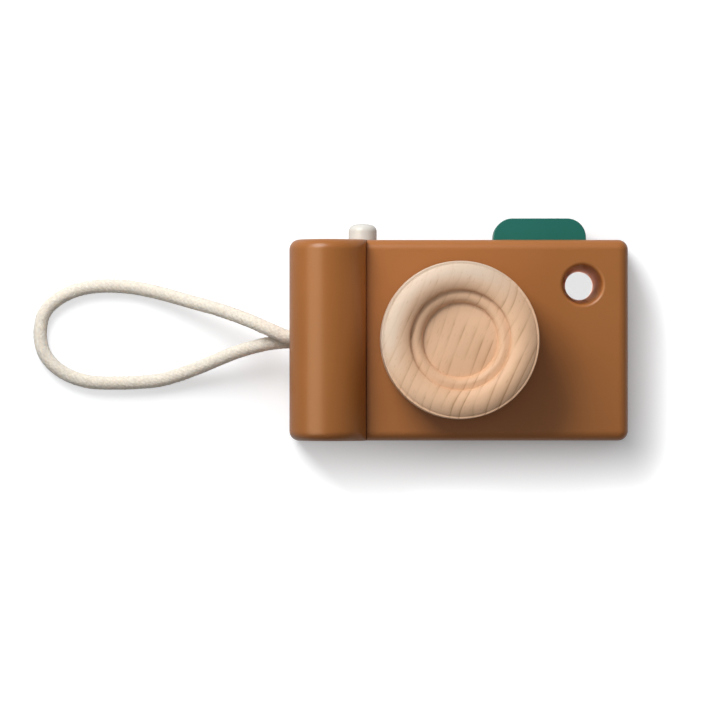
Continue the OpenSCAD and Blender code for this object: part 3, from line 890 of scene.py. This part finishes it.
class TOYCAM_OT_grip(Operator):
    """Shape the half-round hand grip"""

    bl_idname = "toycam.grip"
    bl_label = "Hand Grip"

    def execute(self, context):
        full, corner = sizes().edge_round, sizes().grip_corner
        front = BLOCK_HIGH.z
        radius = (GRIP_HIGH.x - GRIP_LOW.x) / 2
        length = GRIP_HIGH.y - GRIP_LOW.y
        middle = (GRIP_LOW + GRIP_HIGH) / 2
        deselect_all()
        bpy.ops.mesh.primitive_cylinder_add(
            vertices=160, radius=radius, depth=length, location=(middle.x, middle.y, front),
            rotation=(math.pi / 2, 0, 0)
        )
        grip = name_piece("hand_grip_round")
        bpy.ops.object.mode_set(mode="EDIT")
        bpy.ops.mesh.select_all(action="SELECT")
        bpy.ops.mesh.bisect(plane_co=(0, 0, front), plane_no=(0, 0, 1), use_fill=True, clear_inner=True)
        bpy.ops.mesh.select_mode(type="FACE")
        bpy.ops.mesh.select_all(action="DESELECT")
        mesh = bmesh.from_edit_mesh(grip.data)
        for face in mesh.faces:
            face.select_set(face.normal.z < -0.99)
        bmesh.update_edit_mesh(grip.data)
        bpy.ops.mesh.extrude_region_move(TRANSFORM_OT_translate={"value": (0, 0, GRIP_LOW.z - front)})
        # One flat face at each end
        bpy.ops.mesh.select_all(action="SELECT")
        bpy.ops.mesh.dissolve_limited(angle_limit=math.radians(0.3))
        bpy.ops.object.mode_set(mode="OBJECT")
        end = length / 2 - OVERRUN
        floor = GRIP_LOW.z + OVERRUN
        round_edges(
            grip, full, EDGE_STEPS,
            lambda a, b: min(abs(a.y), abs(b.y)) > end and a.y * b.y > 0 and max(a.z, b.z) > floor
        )
        # From 50 degrees above the block's front down to it, the ends are less and less rounded
        least = corner / full
        for vertex in grip.data.vertices:
            x, y, z = vertex.co - middle
            shy = length / 2 - abs(y)
            if x <= 0 or shy >= full:
                continue
            rise = max(z + middle.z - front, 0)
            share = min(math.atan2(rise, x) / math.radians(50), 1)
            keep = least + (1 - least) * share * share * (3 - 2 * share)
            short = max((1 - keep) * (radius / math.hypot(x, rise) - 1), 0)
            vertex.co.x += x * short
            vertex.co.z += rise * short
            vertex.co.y += math.copysign((1 - keep) * shy, y)
        # The grip's coat is the block's caramel darkened as painted shade, and duller
        paint = lacquer("caramel_lacquer_shaded_on_grip", shade(colours().caramel, 0.9)[:3], 0.75)
        finish_piece(grip, paint, "caramel_lacquer", BODY, "hand_grip")
        return {"FINISHED"}


class TOYCAM_OT_lens(Operator):
    """Turn the bare beech lens"""

    bl_idname = "toycam.lens"
    bl_label = "Lens"

    def execute(self, context):
        s = sizes()
        back, crest = LENS_LOW.z, LENS_HIGH.z
        foot = LENS_HIGH.x
        edge, ring, dish, fall, bead = s.lens_edge, s.lens_round, s.lens_dish, s.lens_fall, s.lens_bead
        # How far the ring turns from its crest, in degrees: out to its edge, and in to its steep fall
        round_turn, dish_turn = 33, 32
        out, inward = math.radians(round_turn), math.radians(dish_turn)
        edge_x = foot - s.lens_taper - edge
        edge_z = crest - ring + (ring - edge) * math.cos(out)
        crest_x = edge_x - (ring - edge) * math.sin(out)
        fall_x = crest_x - (dish - fall) * math.sin(inward)
        fall_z = crest - dish + (dish - fall) * math.cos(inward)
        band_z = fall_z - s.lens_step
        bead_x = fall_x - fall - s.lens_band
        ledge_z = edge_z + edge * math.cos(out) - s.lens_ledge
        bore = AXLE_HIGH.x + s.run_gap
        ease = 0.8 * MM
        section = [(0, AXLE_HIGH.z), (bore, AXLE_HIGH.z), (bore, back)]
        section += arc((foot - ease, back + ease), ease, -90, 0, 5)
        section += arc((edge_x + edge - s.lens_ledge, ledge_z - s.lens_ledge), s.lens_ledge, 0, 90, 6)
        section.append((edge_x + edge * math.sin(out), ledge_z))
        section += arc((crest_x, crest - ring), ring, 90 - round_turn, 90, 12)
        section += arc((crest_x, crest - dish), dish, 90, 90 + dish_turn, 10)[1:]
        section += arc((fall_x, fall_z), fall, 90 + dish_turn, 180, 12)[1:]
        section.append((fall_x - fall, band_z))
        section += arc((bead_x, band_z - bead), bead, 90, 180, 14)
        section.append((0, band_z - bead))
        lens = turn("turned_lens", section, 192)
        # The painted sheen faces the window, up and to the left
        wood = beech(
            "turned_beech", (0.83, -0.4, -0.13), (0.438, 0.899, 0), (-0.55, 0.83, 0), (0, 0, LENS_HIGH.z / MM)
        )
        finish_piece(lens, wood, "turned_beech", LENS_BODY, "lens")
        return {"FINISHED"}


class TOYCAM_OT_button(Operator):
    """Turn the crowned shutter button and slot its stem"""

    bl_idname = "toycam.button"
    bl_label = "Shutter Button"

    def execute(self, context):
        s = sizes()
        middle = (BUTTON_LOW + BUTTON_HIGH) / 2
        radius = (BUTTON_HIGH.x - BUTTON_LOW.x) / 2
        length = BUTTON_HIGH.y - BUTTON_LOW.y
        rim, crown = s.button_rim, s.button_crown
        # The rim's rounding runs smoothly into the crown
        rim_x = radius - rim
        rim_y = length - crown + math.sqrt((crown - rim) ** 2 - rim_x ** 2)
        meet = math.degrees(math.atan2(rim_y - (length - crown), rim_x))
        ease = 0.4 * MM
        section = [(0, 0)] + arc((radius - ease, ease), ease, -90, 0, 4)
        section += arc((rim_x, rim_y), rim, 0, meet, 12)
        section += arc((0, length - crown), crown, meet, 90, 6)[1:-1]
        section.append((0, length))
        button = turn("crowned_button", section, 96)
        place(button, (middle.x, BUTTON_LOW.y, middle.z), (-math.pi / 2, 0, 0))
        # The slot for the keeper pin is longer than the pin by the button's travel
        pin_mid = (PIN_LOW + PIN_HIGH) / 2
        half = (PIN_HIGH.x - PIN_LOW.x) / 2 + s.run_gap
        reach = radius + OVERRUN
        slot = add_box(
            "slot", (pin_mid.x - half, pin_mid.y - half, middle.z - reach),
            (pin_mid.x + half, pin_mid.y + BUTTON_TRAVEL + half, middle.z + reach)
        )
        round_edges(slot, 0.98 * half, 8, lambda a, b: abs(a.z - b.z) > OVERRUN)
        cut(button, slot)
        paint = lacquer("cream_lacquer", colours().cream)
        finish_piece(button, paint, "cream_lacquer", BUTTON_BODY, "shutter_button")
        return {"FINISHED"}


class TOYCAM_OT_spring(Operator):
    """Wind the button's return spring"""

    bl_idname = "toycam.spring"
    bl_label = "Return Spring"

    def execute(self, context):
        s = sizes()
        middle = (SPRING_LOW + SPRING_HIGH) / 2
        length = SPRING_HIGH.y - SPRING_LOW.y
        wire = s.spring_wire / 2
        deselect_all()
        bpy.ops.mesh.primitive_circle_add(vertices=12, radius=wire)
        spring = name_piece("return_spring")
        place(spring, ((SPRING_HIGH.x - SPRING_LOW.x) / 2 - wire, 0, wire), (math.pi / 2, 0, 0))
        modifier = spring.modifiers.new("Winding", "SCREW")
        modifier.angle = -math.tau
        modifier.screw_offset = (length - s.spring_wire) / s.spring_turns
        modifier.iterations = s.spring_turns
        modifier.steps = modifier.render_steps = 32
        bpy.ops.object.modifier_apply(modifier=modifier.name)
        bpy.ops.object.mode_set(mode="EDIT")
        bpy.ops.mesh.select_all(action="SELECT")
        bpy.ops.mesh.fill_holes(sides=0)
        bpy.ops.mesh.select_all(action="SELECT")
        bpy.ops.mesh.normals_make_consistent(inside=False)
        bpy.ops.object.mode_set(mode="OBJECT")
        seat = (middle.x, SPRING_LOW.y, middle.z)
        place(spring, seat, (-math.pi / 2, 0, 0))
        finish_piece(spring, plated_steel("zinc_plated_spring_wire"), "steel", BODY, "button_spring")
        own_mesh(spring)
        return {"FINISHED"}


class TOYCAM_OT_flash(Operator):
    """Shape the green flash block"""

    bl_idname = "toycam.flash"
    bl_label = "Flash Block"

    def execute(self, context):
        s = sizes()
        flash = add_box("flash_block_green", FLASH_LOW, FLASH_HIGH)
        high = FLASH_HIGH.y - OVERRUN
        round_edges(flash, s.flash_corner, 20, lambda a, b: min(a.y, b.y) > high and abs(a.z - b.z) > OVERRUN)
        front, back = FLASH_HIGH.z - s.flash_ease, FLASH_LOW.z + s.flash_ease
        low = FLASH_LOW.y + s.flash_ease
        round_edges(
            flash, s.flash_ease, 3,
            lambda a, b: (min(a.z, b.z) > front or max(a.z, b.z) < back) and max(a.y, b.y) > low
        )
        paint = lacquer("green_lacquer", colours().green, 0.4)
        finish_piece(flash, paint, "green_lacquer", BODY, "flash_block")
        return {"FINISHED"}


class TOYCAM_OT_inner(Operator):
    """Finish the pieces inside: dowels, axle, pegs, felt and steel"""

    bl_idname = "toycam.inner"
    bl_label = "Inner Pieces"

    def execute(self, context):
        dowel = beech("milled_beech_dowel", (1, 0.2, 0.1), (0, 0.1, 1), (1, 0, 0), (0, 0, 0))
        felt = pressed_felt()
        steel = plated_steel("zinc_plated_steel")
        finishes = {
            "grip_dowels": dowel, "flash_dowels": dowel, "lens_axle": dowel, "button_pin": dowel,
            "cord_pegs": dowel, "felt_washer": felt, "axle_washer": steel, "axle_screw": steel,
        }
        for name, material in finishes.items():
            mesh = frame["nodes"][name].data
            mesh.materials.clear()
            mesh.materials.append(material)
        return {"FINISHED"}


class TOYCAM_PT_pieces(Panel):
    """Pieces, sizes and colours of the toy camera"""

    bl_label = "Toy Camera"
    bl_idname = "TOYCAM_PT_pieces"
    bl_space_type = "VIEW_3D"
    bl_region_type = "UI"
    bl_category = "Toy Camera"

    def draw(self, context):
        for operator in PIECES:
            self.layout.operator(operator.bl_idname)
        for group in (context.scene.toy_camera_sizes, context.scene.toy_camera_colours):
            box = self.layout.box()
            for name in group.__annotations__:
                box.prop(group, name)


PIECES = (
    TOYCAM_OT_stage, TOYCAM_OT_cord, TOYCAM_OT_block, TOYCAM_OT_grip, TOYCAM_OT_lens, TOYCAM_OT_button,
    TOYCAM_OT_spring, TOYCAM_OT_flash, TOYCAM_OT_inner,
)
CLASSES = (ToyCameraSizes, ToyCameraColours, *PIECES, TOYCAM_PT_pieces)


def register():
    """Makes the operators, the panel and the settings known."""
    for cls in CLASSES:
        bpy.utils.register_class(cls)
    bpy.types.Scene.toy_camera_sizes = PointerProperty(type=ToyCameraSizes)
    bpy.types.Scene.toy_camera_colours = PointerProperty(type=ToyCameraColours)


def unregister():
    """Takes them away again."""
    del bpy.types.Scene.toy_camera_colours
    del bpy.types.Scene.toy_camera_sizes
    for cls in reversed(CLASSES):
        bpy.utils.unregister_class(cls)


def main():
    """Builds the whole toy."""
    register()
    bpy.ops.toycam.stage()
    bpy.ops.toycam.cord()
    bpy.ops.toycam.block()
    bpy.ops.toycam.grip()
    bpy.ops.toycam.lens()
    bpy.ops.toycam.button()
    bpy.ops.toycam.spring()
    bpy.ops.toycam.flash()
    bpy.ops.toycam.inner()


if __name__ == "__main__":
    main()
